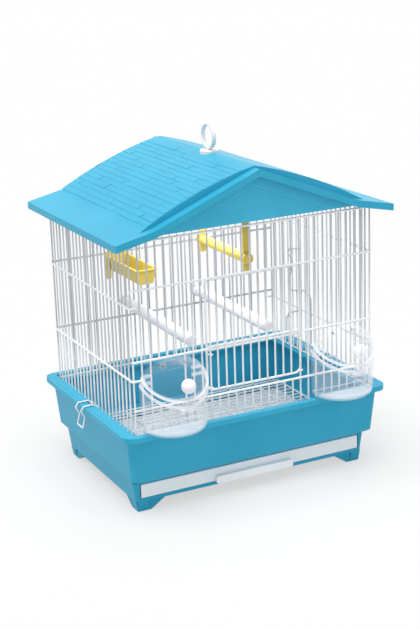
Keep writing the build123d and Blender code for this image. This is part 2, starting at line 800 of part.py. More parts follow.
def ceiling_z(x):
    """Height of the raised slope's underside beside the ridge."""
    ax, az = 0.0, ridge_z + panel_ridge_rise
    cx, cz = panel_end_x, roof_z(panel_end_x)
    bx, bz = cx / 2, (az + cz) / 2 + panel_rise
    a2, b2, c2 = ax * ax + az * az, bx * bx + bz * bz, cx * cx + cz * cz
    d = 2 * (ax * (bz - cz) + bx * (cz - az) + cx * (az - bz))
    centre_x = (a2 * (bz - cz) + b2 * (cz - az) + c2 * (az - bz)) / d
    centre_z = (a2 * (cx - bx) + b2 * (ax - cx) + c2 * (bx - ax)) / d
    radius = math.hypot(centre_x - ax, centre_z - az)
    return centre_z + math.sqrt(radius * radius - (x - centre_x) ** 2) - roof_wall


def hanging_ring():
    """Flat ring on a stem that turns in the roof."""
    centre_z = ridge_z + panel_ridge_rise + ring_base_height + ring_base_gap + ring_outer_r
    across = Pos(0, ring_y, centre_z) * Rot(0, 90, 0)
    band = across * (Cylinder(ring_outer_r, ring_band) - Cylinder(ring_outer_r - ring_wall, ring_band * 2))
    band = fillet(band.edges(), ring_edge_r)
    foot = ceiling_z(retainer_r) - ring_base_gap - retainer_wall
    return band + upright(0, ring_y, foot, centre_z - ring_outer_r + ring_wall / 2, ring_stem_r)


def ring_retainer():
    """Washer pressed on the stem under the roof."""
    top = ceiling_z(retainer_r) - ring_base_gap
    washer = upright(0, ring_y, top - retainer_wall, top, retainer_r)
    return washer - upright(0, ring_y, top - 2 * retainer_wall, top + retainer_wall, ring_stem_r)


def trough():
    """Yellow trough on a plate that hooks over the upper back bar."""
    centre = (wire_x(trough_slots[0]) + wire_x(trough_slots[1])) / 2
    plate_y = half_d - wire_r - 3 * fit_gap
    body_back = plate_y - trough_plate_wall
    front = body_back - trough_length
    mid_y = (front + body_back) / 2
    slope_in = trough_top_width - trough_bottom_width

    def shape(wall, z0, z1):
        share = (trough_top_z - z0) / (trough_top_z - trough_bottom_z)
        low = Pos(centre, mid_y, z0) * Rectangle(trough_top_width - slope_in * share - 2 * wall,
                                                 trough_length - slope_in * share / 2 - 2 * wall)
        high = Pos(centre, mid_y, z1) * Rectangle(trough_top_width - 2 * wall, trough_length - 2 * wall)
        return loft([low, high])

    body = shape(0, trough_bottom_z, trough_top_z)
    rim = block(centre - trough_top_width / 2 - trough_rim_out, centre + trough_top_width / 2 + trough_rim_out,
                front - trough_rim_out, body_back, trough_top_z - trough_rim_height, trough_top_z)
    body = body + rim
    body = body - shape(trough_wall, trough_bottom_z + trough_wall, trough_top_z)
    half_plate = trough_top_width / 2 + trough_plate_out
    hook_z = back_high_z + bar_r + fit_gap
    plate = block(centre - half_plate, centre + half_plate, body_back, plate_y, trough_bottom_z, hook_z + hook_wall)
    body = body + plate
    for side in (-1, 1):
        x = centre + side * (half_plate - trough_leg_width / 2)
        body = body + block(x - trough_leg_width / 2, x + trough_leg_width / 2, body_back, plate_y, trough_leg_z,
                            trough_bottom_z + trough_wall)
    back = half_d + bar_out + bar_r + fit_gap
    for slot in trough_slots:
        x = wire_x(slot)
        body = body + block(x - hook_width / 2, x + hook_width / 2, body_back, back + hook_wall, hook_z, hook_z + hook_wall)
        body = body + block(x - hook_width / 2, x + hook_width / 2, back, back + hook_wall, hook_z - hook_drop,
                            hook_z + hook_wall)
    return body


def side_clip(side):
    """Wire clip that turns on the side panel's sill bar and closes under the rim."""
    edge_x = rim_length / 2 + clip_wire_r
    eye_r = bar_r + running_gap + clip_wire_r
    over_z = rim_top_z + clip_over_gap + clip_wire_r
    half = []
    for end in (-1, 1):
        y = end * clip_y
        leg = [(side_bar_x, y, sill_bar_z + eye_r), (side_bar_x + 2 * eye_r, y, over_z),
               (edge_x + clip_over_gap, y, over_z), (edge_x + clip_bulge, y, clip_bulge_z),
               (edge_x + clip_waist, y, clip_waist_z), (edge_x + clip_tail, y, clip_tail_z)]
        half.append([(side * x, y, z) for x, y, z in leg])
    clip = wire_path(half[0] + list(reversed(half[1])), clip_wire_r * clip_bend, clip_wire_r)
    for end in (-1, 1):
        clip = clip + Pos(side * side_bar_x, end * clip_y, sill_bar_z) * Rot(90, 0, 0) * Torus(eye_r, clip_wire_r)
    return clip


def wire_holder():
    """Bent-wire holder for greens inside the right wires."""
    x = side_x - wire_r - clamp_gap - holder_wire_r
    points = [(x, y, z) for y, z in holder_points]
    return wire_path(points, holder_bend_r, holder_wire_r)


def save(solid, name):
    """Write one piece."""
    solid.label = name
    export_step(solid, f"parts/{name}.step")


def main():
    os.makedirs("parts", exist_ok=True)
    save(base_tray(), "base_tray")
    save(floor_grille(), "floor_grille")
    save(drawer(), "drawer")
    save(front_panel(), "front_wire_panel")
    save(back_panel(), "back_wire_panel")
    save(left_panel(), "left_wire_panel")
    save(right_panel(), "right_wire_panel")
    save(front_door(), "front_door")
    save(roof_shell(), "roof_shell")
    save(gable(-1), "front_gable")
    save(gable(1), "back_gable")
    save(ring_base(), "ring_base")
    save(hanging_ring(), "hanging_ring")
    save(ring_retainer(), "ring_retainer")
    for name, piece in (("cup", cup_body()), ("hood", hood()), ("hood_knob", knob())):
        save(piece, f"left_{name}")
        save(piece.mirror(Plane.YZ), f"right_{name}")
    save(side_clip(-1), "left_side_clip")
    save(side_clip(1), "right_side_clip")
    for side, slot in (("left", perch_left_slot), ("right", perch_right_slot)):
        save(perch(slot), f"{side}_perch")
        save(perch_nut(slot), f"{side}_perch_nut")
    save(swing_frame(), "swing_frame")
    save(swing_bar(), "swing_bar")
    save(swing_hanger(-1), "swing_hanger_front")
    save(swing_hanger(1), "swing_hanger_back")
    save(trough(), "trough_feeder")
    save(wire_holder(), "wire_holder")


main()
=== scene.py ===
import bpy
import bmesh
import math
from mathutils import Matrix, Vector


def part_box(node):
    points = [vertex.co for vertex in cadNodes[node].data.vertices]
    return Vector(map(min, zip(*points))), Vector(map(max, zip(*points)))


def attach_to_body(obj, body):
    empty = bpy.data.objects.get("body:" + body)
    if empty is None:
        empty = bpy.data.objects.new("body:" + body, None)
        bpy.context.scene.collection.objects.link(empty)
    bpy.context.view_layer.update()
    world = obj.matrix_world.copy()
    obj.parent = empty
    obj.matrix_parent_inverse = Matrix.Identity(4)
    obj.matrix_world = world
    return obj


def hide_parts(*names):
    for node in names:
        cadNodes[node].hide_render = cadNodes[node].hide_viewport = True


mm = 0.001
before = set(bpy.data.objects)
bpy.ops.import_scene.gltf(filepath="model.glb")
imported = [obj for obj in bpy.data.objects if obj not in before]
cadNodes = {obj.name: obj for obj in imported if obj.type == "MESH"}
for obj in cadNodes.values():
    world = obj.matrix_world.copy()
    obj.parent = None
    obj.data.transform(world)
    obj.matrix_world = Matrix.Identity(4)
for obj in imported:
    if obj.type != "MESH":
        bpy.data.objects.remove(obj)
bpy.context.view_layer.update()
print("frame loaded")


# shader and geometry node helpers

class Socket:
    # a node output that can be used in sums
    def __init__(self, graph, link):
        self.graph = graph
        self.link = link

    def calc(self, how, other=None, swap=False):
        values = [other, self] if swap else [self, other]
        node = self.graph.add("ShaderNodeMath", dict(operation=how))
        for place, value in enumerate(values):
            if value is not None:
                self.graph.feed(node.inputs[place], value)
        return Socket(self.graph, node.outputs[0])

    def __add__(self, other):
        return self.calc("ADD", other)

    def __sub__(self, other):
        return self.calc("SUBTRACT", other)

    def __rsub__(self, other):
        return self.calc("SUBTRACT", other, swap=True)

    def __mul__(self, other):
        return self.calc("MULTIPLY", other)

    def __truediv__(self, other):
        return self.calc("DIVIDE", other)

    def size(self):
        return self.calc("ABSOLUTE")

    def atLeast(self, other):
        return self.calc("MAXIMUM", other)

    def atMost(self, other):
        return self.calc("MINIMUM", other)

    def between(self, low, high):
        node = self.graph.add("ShaderNodeMapRange", dict(interpolation_type="SMOOTHSTEP"))
        for place, value in enumerate((self, low, high)):
            self.graph.feed(node.inputs[place], value)
        return Socket(self.graph, node.outputs[0])


class Graph:
    step, width, drop = 190, 2400, 320

    def __init__(self, tree):
        self.tree = tree
        self.column = 0

    def add(self, kind, look=None, **inputs):
        node = self.tree.nodes.new(kind)
        self.column += self.step
        node.location = (self.column % self.width, -self.column // self.width * self.drop)
        for key, value in (look or {}).items():
            setattr(node, key, value)
        for key, value in inputs.items():
            self.feed(node.inputs[key.replace("_", " ")], value)
        return node

    def feed(self, place, value):
        if isinstance(value, Socket):
            self.tree.links.new(value.link, place)
        elif isinstance(value, bpy.types.NodeSocket):
            self.tree.links.new(value, place)
        else:
            place.default_value = value

    def out(self, node, name=0):
        return Socket(self, node.outputs[name])

    def axes(self, vector):
        node = self.add("ShaderNodeSeparateXYZ", Vector=vector)
        return {name: self.out(node, name) for name in "XYZ"}

    def blend(self, amount, first, second):
        # the first shader where amount is 0, the second where it is 1
        node = self.add("ShaderNodeMixShader")
        for place, value in enumerate((amount, first, second)):
            self.feed(node.inputs[place], value)
        return node.outputs[0]

    def seen(self):
        # 1 for camera, glossy and transmission rays, 0 for the rays that only light
        rays = self.add("ShaderNodeLightPath")
        straight, mirrored, through = (self.out(rays, "Is %s Ray" % kind)
                                       for kind in ("Camera", "Glossy", "Transmission"))
        return straight.atLeast(mirrored).atLeast(through)


def newShader(name):
    material = bpy.data.materials.new(name)
    material.use_nodes = True
    material.node_tree.nodes.clear()
    graph = Graph(material.node_tree)
    place = graph.out(graph.add("ShaderNodeTexCoord"), "Object")
    finish = graph.add("ShaderNodeOutputMaterial")
    return material, graph, place, finish


def blotches(graph, place, scale, detail):
    node = graph.add("ShaderNodeTexNoise", Vector=place, Scale=scale, Detail=detail, Roughness=0.5)
    return graph.out(node)


def tint(graph, amount, dark, light):
    # inputs 6 and 7 are the node's two colours
    node = graph.add("ShaderNodeMix", dict(data_type="RGBA"))
    graph.feed(node.inputs[0], amount)
    for place, colour in ((6, dark), (7, light)):
        graph.feed(node.inputs[place], colour if isinstance(colour, Socket) else (*colour, 1))
    return Socket(graph, node.outputs[2])


# finishes

coatLook = dict(cloudDetail=3.0, grainDetail=2.0, rippleDetail=1.0, shadeFrom=0.3, shadeTo=0.7, shine=0.5)
blueLook = dict(dark=(0.032, 0.350, 0.530), light=(0.042, 0.380, 0.565), rough=0.34, roughSpread=0.10,
                cloud=14.0, grain=1500.0, grainDepth=0.00003, ripple=60.0, rippleDepth=0.00010, shine=0.12)


def mouldedPlastic(name, look, relief=None):
    # two close shades in clouds, with a fine grain and a ripple as bump
    material, graph, place, finish = newShader(name)
    cloud = blotches(graph, place, look["cloud"], coatLook["cloudDetail"])
    grain = blotches(graph, place, look["grain"], coatLook["grainDetail"])
    ripple = blotches(graph, place, look["ripple"], coatLook["rippleDetail"])
    patch = cloud.between(coatLook["shadeFrom"], coatLook["shadeTo"])
    shade = tint(graph, patch, look["dark"], look["light"])
    if look.get("paintedShade"):
        # painted shade: the coat is greyer higher up, standing in for the shade the roof casts on the upper
        # wires
        level = graph.axes(place)["Z"]
        shade = tint(graph, level.between(look["shadeStartZ"], look["shadeFullZ"]), shade, look["paintedShade"])
    height = grain * look["grainDepth"] + ripple * look["rippleDepth"]
    if relief:
        height = height + relief(graph, place)
    bump = graph.add("ShaderNodeBump", Height=height, Strength=1.0, Distance=1.0)
    skin = graph.add("ShaderNodeBsdfPrincipled", Base_Color=shade, Normal=bump.outputs[0],
                     Roughness=cloud * look["roughSpread"] + (look["rough"] - look["roughSpread"] / 2))
    skin.inputs["Specular IOR Level"].default_value = look.get("shine", coatLook["shine"])
    graph.feed(finish.inputs[0], skin.outputs[0])
    return material


gableLook = dict(apexZ=0.3765, slope=0.4032, lineDrop=0.021, lineGap=0.0042, lineWidth=0.0016, lineFlat=0.3,
                 lineDepth=0.00022)


def gableRelief(graph, place):
    # two shallow grooves that run along under the roof's edge
    at = graph.axes(place)
    under = gableLook["apexZ"] - at["X"].size() * gableLook["slope"] - at["Z"]
    width = gableLook["lineWidth"]
    height = None
    for line in (0, 1):
        away = (under - (gableLook["lineDrop"] + line * gableLook["lineGap"])).size()
        groove = away.between(width * gableLook["lineFlat"], width) * gableLook["lineDepth"]
        height = groove if height is None else height + groove
    return height


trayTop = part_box("base_tray")[1]
rimLook = dict(inset=0.0034, halfWidth=0.0008, flat=0.4, depth=0.0005)


def rimRelief(graph, place):
    # a groove that follows the rim of the tray
    at = graph.axes(place)
    outside = (at["X"].size() - trayTop.x).atLeast(at["Y"].size() - trayTop.y)
    away = (outside + rimLook["inset"]).size()
    return away.between(rimLook["halfWidth"] * rimLook["flat"], rimLook["halfWidth"]) * rimLook["depth"]


bluePlastic = mouldedPlastic("bluePlastic", blueLook)
trayPlastic = mouldedPlastic("trayPlastic", blueLook, rimRelief)
# painted light: the gable takes a paler copy of the roof's blue, lifting it out of the shade under the eave
gableLitBlueLook = dict(blueLook, dark=(0.052, 0.43, 0.64), light=(0.062, 0.46, 0.67))
gablePlastic = mouldedPlastic("gablePlastic", gableLitBlueLook, gableRelief)

whiteLook = dict(dark=(0.80, 0.79, 0.82), light=(0.85, 0.84, 0.87), rough=0.36, roughSpread=0.08,
                 cloud=30.0, grain=1700.0, grainDepth=0.00002, ripple=90.0, rippleDepth=0.00006)
whitePlastic = mouldedPlastic("whitePlastic", whiteLook)
coolWhiteLook = dict(whiteLook, dark=(0.85, 0.89, 0.92), light=(0.89, 0.93, 0.96))
drawerPlastic = mouldedPlastic("drawerPlastic", coolWhiteLook)

yellowLook = dict(dark=(0.60, 0.44, 0.060), light=(0.67, 0.51, 0.085), rough=0.36, roughSpread=0.08,
                  cloud=45.0, grain=1500.0, grainDepth=0.00002, ripple=120.0, rippleDepth=0.00006)
yellowPlastic = mouldedPlastic("yellowPlastic", yellowLook)

wireLook = dict(dark=(0.76, 0.77, 0.79), light=(0.86, 0.865, 0.87), rough=0.30, roughSpread=0.14,
                cloud=160.0, grain=900.0, grainDepth=0.00005, ripple=350.0, rippleDepth=0.00008, shine=0.6,
                shadeStartZ=0.180, shadeFullZ=0.250)
wireCoat = mouldedPlastic("wireCoat", wireLook)
# copies of the one white wire coat with painted shade: grey higher up, greyest and from lowest down on the
# far wires
frontShadedCoat = mouldedPlastic("frontShadedCoat", dict(wireLook, paintedShade=(0.52, 0.53, 0.55)))
sideShadedCoat = mouldedPlastic("sideShadedCoat", dict(wireLook, paintedShade=(0.54, 0.55, 0.57), shadeStartZ=0.13, shadeFullZ=0.19))
farShadedCoat = mouldedPlastic("farShadedCoat", dict(wireLook, paintedShade=(0.42, 0.43, 0.46), shadeStartZ=0.10, shadeFullZ=0.16))

clearLook = dict(haze=(0.86, 0.87, 0.93), edge=(0.95, 0.96, 0.98), shadeFrom=0.2, shadeTo=0.8, cloud=35.0,
                 rough=0.12, roughSpread=0.06, shine=0.8, film=0.012, cloudFilm=0.02, cupFilm=0.045,
                 most=0.92, rim=0.50, turnBlend=0.5, turnPower=3.5, frontY=-0.1564, backY=-0.1166,
                 bead=0.5, beadHalf=0.0016, beadEdges=(0.6, 1.3), cupFront=0.1355, cupBack=0.1577,
                 hoodFront=0.1426, hoodBack=0.1658, floorZ=0.1045, floorFade=0.006, floorHaze=0.03,
                 ringZ=(0.1022, 0.1085), ringHalf=0.0007, ringEdges=(0.5, 1.5), ringCover=0.28)


def clearPlastic(name, look):
    # thin clear plastic, milkier low down, and whiter along its beads, in rings near its floor and where the
    # wall turns away; the bead lines and the turned-away walls are partly the plastic's own look and partly
    # painted highlight and reflection
    material, graph, place, finish = newShader(name)
    cloud = blotches(graph, place, look["cloud"], coatLook["cloudDetail"])
    at = graph.axes(place)
    height = at["Z"]
    back = (at["Y"] - look["frontY"]) * (1 / (look["backY"] - look["frontY"]))
    beadInner, beadOuter = (look["beadHalf"] * share for share in look["beadEdges"])
    cover = None
    # a whiter line along the rim of cup and hood: partly the bead's own look, partly painted highlight
    for low, high in ((look["cupFront"], look["cupBack"]), (look["hoodFront"], look["hoodBack"])):
        away = (height - (back * (high - low) + low)).size()
        line = 1 - away.between(beadInner, beadOuter)
        cover = line if cover is None else cover.atLeast(line)
    ringInner, ringOuter = (look["ringHalf"] * share for share in look["ringEdges"])
    ring = None
    for level in look["ringZ"]:
        line = 1 - (height - level).size().between(ringInner, ringOuter)
        ring = line if ring is None else ring.atLeast(line)
    bottom = 1 - height.between(look["floorZ"] - look["floorFade"], look["floorZ"] + look["floorFade"])
    # whiter where the wall turns away: partly the haze seen edge-on, partly painted reflection
    facing = graph.out(graph.add("ShaderNodeLayerWeight", Blend=look["turnBlend"]), "Facing")
    turned = facing.calc("POWER", look["turnPower"])
    shade = tint(graph, cloud.between(look["shadeFrom"], look["shadeTo"]), look["haze"], look["edge"])
    skin = graph.add("ShaderNodeBsdfPrincipled", Base_Color=shade,
                     Roughness=cloud * look["roughSpread"] + look["rough"])
    skin.inputs["Specular IOR Level"].default_value = look["shine"]
    clear = graph.add("ShaderNodeBsdfTransparent")
    lowDown = 1 - height.between(look["cupFront"], look["cupBack"])
    amount = turned * look["rim"] + cover * look["bead"] + ring * look["ringCover"]
    amount = amount + bottom * look["floorHaze"] + lowDown * look["cupFilm"]
    amount = amount + cloud * look["cloudFilm"] + look["film"]
    mixed = graph.blend(amount.atMost(look["most"]), clear.outputs[0], skin.outputs[0])
    graph.feed(finish.inputs[0], mixed)
    return material


clearShell = clearPlastic("clearPlastic", clearLook)
frostedLook = dict(clearLook, film=0.42, cupFilm=0.0, rim=0.4, rough=0.25, bead=0.0)
frostedPlastic = clearPlastic("frostedPlastic", frostedLook)
print("finishes made")


# geometry node trees

def newTree(name, inputs):
    tree = bpy.data.node_groups.new(name, "GeometryNodeTree")
    tree.interface.new_socket("Geometry", in_out="INPUT", socket_type="NodeSocketGeometry")
    for label, kind in inputs:
        tree.interface.new_socket(label, in_out="INPUT", socket_type="NodeSocket" + kind)
    tree.interface.new_socket("Geometry", in_out="OUTPUT", socket_type="NodeSocketGeometry")
    graph = Graph(tree)
    return tree, graph, graph.add("NodeGroupInput")


def closeTree(graph, source, made):
    smooth = graph.add("GeometryNodeSetShadeSmooth", Geometry=made)
    real = graph.add("GeometryNodeRealizeInstances", Geometry=smooth.outputs[0])
    dressed = graph.add("GeometryNodeSetMaterial", Geometry=real.outputs[0],
                        Material=source.outputs["Finish"])
    graph.feed(graph.add("NodeGroupOutput").inputs[0], dressed.outputs[0])


def roundSection(graph, source, path):
    ring = graph.add("GeometryNodeCurvePrimitiveCircle", Radius=source.outputs["Radius"],
                     Resolution=source.outputs["Sides"])
    tube = graph.add("GeometryNodeCurveToMesh", Curve=path, Profile_Curve=ring.outputs[0])
    tube.inputs["Fill Caps"].default_value = True
    return tube.outputs[0]


def makeRowTree():
    # a row of equal straight wires
    tree, graph, source = newTree("wireRow", [("Start", "Vector"), ("Step", "Vector"), ("Count", "Int"),
                                              ("Along", "Vector"), ("Radius", "Float"), ("Sides", "Int"),
                                              ("Finish", "Material")])
    points = graph.add("GeometryNodeMeshLine", Count=source.outputs["Count"],
                       Start_Location=source.outputs["Start"], Offset=source.outputs["Step"])
    line = graph.add("GeometryNodeCurvePrimitiveLine", End=source.outputs["Along"])
    wires = graph.add("GeometryNodeInstanceOnPoints", Points=points.outputs[0],
                      Instance=roundSection(graph, source, line.outputs[0]))
    closeTree(graph, source, wires.outputs[0])
    return tree


bendSteps = 6


def makeBentTree():
    # round wire along the edges of a mesh, with rounded bends
    tree, graph, source = newTree("bentWire", [("Radius", "Float"), ("Sides", "Int"), ("Bend", "Float"),
                                               ("Finish", "Material")])
    path = graph.add("GeometryNodeMeshToCurve", Mesh=source.outputs["Geometry"])
    bend = graph.add("GeometryNodeFilletCurve", dict(mode="POLY"), Curve=path.outputs[0], Count=bendSteps,
                     Radius=source.outputs["Bend"], Limit_Radius=True)
    closeTree(graph, source, roundSection(graph, source, bend.outputs[0]))
    return tree


scatter = dict(staggerRows=3, slip=0.12, skew=0.006)


def makeShingleTree():
    # boards in staggered rows over an arched slope, each a little out of line
    tree, graph, source = newTree("shingleRows", [("Rows", "Int"), ("Columns", "Int"), ("Centre", "Vector"),
                                                  ("Arch", "Float"), ("First", "Float"), ("Turn", "Float"),
                                                  ("Left", "Float"), ("Length", "Float"), ("Loose", "Float"),
                                                  ("Seed", "Int"), ("Finish", "Material")])

    def given(name):
        return graph.out(source, name)

    index = graph.out(graph.add("GeometryNodeInputIndex"))
    gridRow = (index / given("Columns")).calc("FLOOR")
    column = index - gridRow * given("Columns")
    stagger = gridRow.calc("MODULO", scatter["staggerRows"]) * (1 / scatter["staggerRows"])
    angle = given("First") + gridRow * given("Turn")
    centre = graph.axes(source.outputs["Centre"])
    spread = graph.add("FunctionNodeRandomValue", dict(data_type="FLOAT_VECTOR"),
                       Seed=source.outputs["Seed"])
    spread.inputs[0].default_value = (-1, -1, -1)
    spread.inputs[1].default_value = (1, 1, 1)
    loose = graph.axes(spread.outputs[0])
    x = centre["X"] + given("Arch") * angle.calc("SINE")
    y = given("Left") + (column + stagger + loose["X"] * scatter["slip"]) * given("Length")
    z = centre["Z"] + given("Arch") * angle.calc("COSINE") + loose["Z"] * given("Loose")
    spot = graph.add("ShaderNodeCombineXYZ", X=x, Y=y, Z=z)
    turn = graph.add("ShaderNodeCombineXYZ", Y=angle, Z=loose["Y"] * scatter["skew"])
    points = graph.add("GeometryNodeMeshLine", Count=given("Rows") * given("Columns"))
    spots = graph.add("GeometryNodeSetPosition", Geometry=points.outputs[0], Position=spot.outputs[0])
    boards = graph.add("GeometryNodeInstanceOnPoints", Points=spots.outputs[0],
                       Instance=source.outputs["Geometry"], Rotation=turn.outputs[0])
    closeTree(graph, source, boards.outputs[0])
    return tree


rowTree = makeRowTree()
bentTree = makeBentTree()
shingleTree = makeShingleTree()


# meshes, objects and wires

def linked(name, data):
    made = bpy.data.objects.new(name, data)
    bpy.context.scene.collection.objects.link(made)
    return made


def baked(piece):
    # the mesh of a piece as its modifiers make it
    graph = bpy.context.evaluated_depsgraph_get()
    return bpy.data.meshes.new_from_object(piece.evaluated_get(graph), depsgraph=graph)


def runTree(tree, values, start=None):
    carrier = linked("carrier", start or bpy.data.meshes.new("carrier"))
    modifier = carrier.modifiers.new("grow", "NODES")
    modifier.node_group = tree
    for item in tree.interface.items_tree:
        if item.item_type == "SOCKET" and item.in_out == "INPUT" and item.name in values:
            modifier[item.identifier] = values[item.name]
    mesh = baked(carrier)
    bpy.data.objects.remove(carrier)
    return mesh


rodSides, wireSides, thinSides, ringPoints, noBend = 12, 10, 8, 24, 0.01


def row(start, step, count, along, radius, finish, sides=wireSides):
    values = dict(Start=[v * mm for v in start], Step=[v * mm for v in step], Count=count,
                  Along=[v * mm for v in along], Radius=radius * mm, Sides=sides, Finish=finish)
    return runTree(rowTree, values)


def bent(points, radius, bend, finish, closed=False, sides=wireSides):
    mesh = bpy.data.meshes.new("route")
    edges = [(i, i + 1) for i in range(len(points) - 1)]
    if closed:
        edges.append((len(points) - 1, 0))
    mesh.from_pydata([[v * mm for v in p] for p in points], edges, [])
    return runTree(bentTree, dict(Radius=radius * mm, Sides=sides, Bend=bend * mm, Finish=finish), mesh)


def circleSteps(radius):
    # even steps round a circle, as two distances from its centre
    angles = [step * 2 * math.pi / ringPoints for step in range(ringPoints)]
    return [(radius * math.cos(angle), radius * math.sin(angle)) for angle in angles]


def joined(name, meshes):
    # one mesh from several, each part keeping its own finish
    whole = bmesh.new()
    finishes = []
    for mesh in meshes:
        finish = [m for m in mesh.materials if m][0]
        if finish not in finishes:
            finishes.append(finish)
        mesh.polygons.foreach_set("material_index", [finishes.index(finish)] * len(mesh.polygons))
        whole.from_mesh(mesh)
    data = bpy.data.meshes.new(name)
    whole.to_mesh(data)
    whole.free()
    for finish in finishes:
        data.materials.append(finish)
    for mesh in meshes:
        bpy.data.meshes.remove(mesh)
    return linked(name, data)


def attach(piece, body, nodes):
    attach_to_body(piece, body)
    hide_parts(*nodes)


# wire body

cage = dict(halfLength=150.0, halfDepth=112.5, longGaps=29, shortGaps=22, wireR=1.0, barR=1.3, barOut=1.8,
            sillZ=95.9, topZ=313.11, frontBars=(126.5, 181.5, 261.0), backBars=(160.0, 243.0),
            sideShift=0.7, doorGaps=11, doorStop=60.5, windowSlots=(3, 5), barBend=1.9, endGap=0.1,
            hookGap=0.2)
longPitch = 2 * cage["halfLength"] / cage["longGaps"]
shortPitch = 2 * cage["halfDepth"] / cage["shortGaps"]


def wireX(index):
    return -cage["halfLength"] + index * longPitch


def wires(first, last, y, z0, z1, finish):
    return row((wireX(first), y, z0), (longPitch, 0, 0), last - first + 1, (0, 0, z1 - z0), cage["wireR"],
               finish)


def rodX(x0, x1, y, z, radius, finish=wireCoat):
    return row((x0, y, z), (0, 0, 0), 1, (x1 - x0, 0, 0), radius, finish, rodSides)


def rodY(x, y0, y1, z, radius):
    return row((x, y0, z), (0, 0, 0), 1, (0, y1 - y0, 0), radius, wireCoat, rodSides)


def frontWires():
    # wires in runs that leave the two cup windows and the door opening free
    y = -cage["halfDepth"]
    low, mid, high = cage["frontBars"]
    sill, top = cage["sillZ"], cage["topZ"]
    a, b = cage["windowSlots"]
    last = cage["longGaps"]
    jamb = (last - cage["doorGaps"]) // 2
    runs = [(0, a - 1, sill, top), (b + 1, jamb, sill, top), (last - jamb, last - b - 1, sill, top),
            (last - a + 1, last, sill, top), (a, b, sill, low), (a, b, mid, top),
            (last - b, last - a, sill, low), (last - b, last - a, mid, top),
            (jamb + 1, last - jamb - 1, sill, low), (jamb + 1, last - jamb - 1, high, top)]
    parts = [wires(left, right, y, z0, z1, frontShadedCoat) for left, right, z0, z1 in runs]
    reach = cage["halfLength"] + cage["wireR"]
    barY = y - cage["barOut"]
    for z in (sill, low, high, top):
        parts.append(rodX(-reach, reach, barY, z, cage["barR"]))
    stop = cage["doorStop"]
    parts.append(rodX(-reach, -stop, barY, mid, cage["barR"]))
    parts.append(rodX(stop, reach, barY, mid, cage["barR"]))
    return joined("frontWires", parts)


def backWires():
    y = cage["halfDepth"]
    parts = [wires(0, cage["longGaps"], y, cage["sillZ"], cage["topZ"], farShadedCoat)]
    reach = cage["halfLength"] + cage["wireR"]
    for z in (cage["sillZ"], *cage["backBars"], cage["topZ"]):
        parts.append(rodX(-reach, reach, y + cage["barOut"], z, cage["barR"], farShadedCoat))
    return joined("backWires", parts)


def sideWires(name, side, bars):
    # each bar is a height with the reach of its front and back hooks, 0 for a plain end
    x = side * (cage["halfLength"] + cage["sideShift"])
    barX = x + side * cage["barOut"]
    parts = [row((x, -cage["halfDepth"] + shortPitch, cage["sillZ"]), (0, shortPitch, 0),
                 cage["shortGaps"] - 1, (0, 0, cage["topZ"] - cage["sillZ"]), cage["wireR"], sideShadedCoat)]
    plain = cage["halfDepth"] - cage["wireR"] - cage["endGap"]
    turn = cage["halfDepth"] + cage["wireR"] + cage["barR"] + cage["hookGap"]
    for z in (cage["sillZ"], cage["topZ"]):
        parts.append(rodY(barX, -plain, plain, z, cage["barR"]))
    for z, frontHook, backHook in bars:
        route = [(barX, -turn if frontHook else -plain, z), (barX, turn if backHook else plain, z)]
        if frontHook:
            route.insert(0, (side * (cage["halfLength"] - frontHook), -turn, z))
        if backHook:
            route.append((side * (cage["halfLength"] - backHook), turn, z))
        parts.append(bent(route, cage["barR"], cage["barBend"], wireCoat, sides=rodSides))
    return joined(name, parts)


leftBars = ((160.5, 12.0, 0), (242.0, 5.0, 0))
rightBars = ((151.0, 5.0, 5.0), (260.0, 0, 5.0))
attach(frontWires(), "cage", ["front_wire_panel"])
attach(backWires(), "cage", ["back_wire_panel"])
attach(sideWires("leftWires", -1, leftBars), "cage", ["left_wire_panel"])
attach(sideWires("rightWires", 1, rightBars), "cage", ["right_wire_panel"])
print("wire body made")


# sliding door

door = dict(frameR=1.3, bottomZ=131.0, topZ=257.4, wireY=-110.2, barY=-108.4, side=59.4, corner=7.0,
            midZ=181.5, twinGap=3.6, ringR=2.2, ringWire=0.8, ringZ=(135.0, 174.0))


def doorWires():
    # wires in a bent frame, with four small rings that slide on the front wires beside the opening
    count = cage["doorGaps"] - 1
    first = (cage["longGaps"] - cage["doorGaps"]) // 2 + 1
    parts = [wires(first, first + count - 1, door["wireY"], door["bottomZ"], door["topZ"], frontShadedCoat)]
    s, y = door["side"], door["barY"]
    top, bottom = door["topZ"], door["bottomZ"]
    frameRoute = [(-s, y, top), (-s, y, bottom), (s, y, bottom), (s, y, top)]
    parts.append(bent(frameRoute, door["frameR"], door["corner"], wireCoat, sides=rodSides))
    for z in (top, door["midZ"], door["midZ"] - door["twinGap"]):
        parts.append(rodX(-s, s, y, z, door["frameR"]))
    for z in door["ringZ"]:
        for side in (-1, 1):
            x = wireX(first - 1) * -side
            circle = [(x + u, -cage["halfDepth"] + v, z) for u, v in circleSteps(door["ringR"])]
            tie = [(x, -cage["halfDepth"] + door["ringR"], z), (side * s, y, z)]
            parts.append(bent(circle, door["ringWire"], noBend, wireCoat, closed=True, sides=thinSides))
            parts.append(bent(tie, door["ringWire"], noBend, wireCoat, sides=thinSides))
    return joined("slidingDoor", parts)


attach(doorWires(), "door", ["front_door"])

# floor grille

grille = dict(rows=20, columns=8, wireR=1.0, frameR=1.3, corner=3.0, longLift=0.5, crossLift=2.0)


